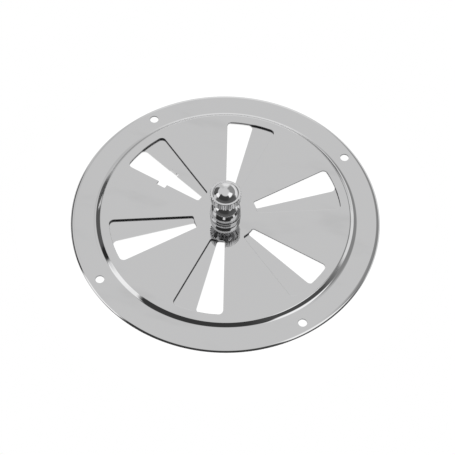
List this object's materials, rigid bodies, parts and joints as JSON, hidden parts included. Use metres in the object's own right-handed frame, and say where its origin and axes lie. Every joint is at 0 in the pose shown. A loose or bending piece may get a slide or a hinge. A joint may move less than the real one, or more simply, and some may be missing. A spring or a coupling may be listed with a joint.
{
  "type": "round vent cover",
  "caption": "Round polished steel vent cover with wedge slots, a turning shutter disc behind them and a knurled knob with a domed top, screwed flat over an air opening.",
  "frame": {"origin": "centre of the cover in the plane that the rim's lower edge stands on, which is the wall or table", "axes": "+Z out of the front, along the knob; +Y through the middle of one slot; the screw holes are on the diagonals of X and Y"},
  "size_m": [0.127, 0.127, 0.0214],
  "materials": {
    "polished_sheet": "mirror-polished stainless sheet",
    "knob_chrome": "bright chrome plating",
    "spindle_steel": "turned steel",
    "washer_steel": "plain steel",
    "spring_steel": "spring steel"
  },
  "bodies": {
    "cover": {"cover_plate": "polished_sheet"},
    "shutter": {"shutter_plate": "polished_sheet", "spindle": "spindle_steel", "back_washer": "washer_steel", "spring_washer": "spring_steel", "knob_base": "knob_chrome", "knob_cap": "knob_chrome"}
  },
  "joints": [
    {"name": "shutter_turn", "type": "hinge", "parent": "cover", "child": "shutter", "pos_m": [0, 0, 0.0022], "axis": [0, 0, 1], "range_deg": [-10, 16]}
  ]
}
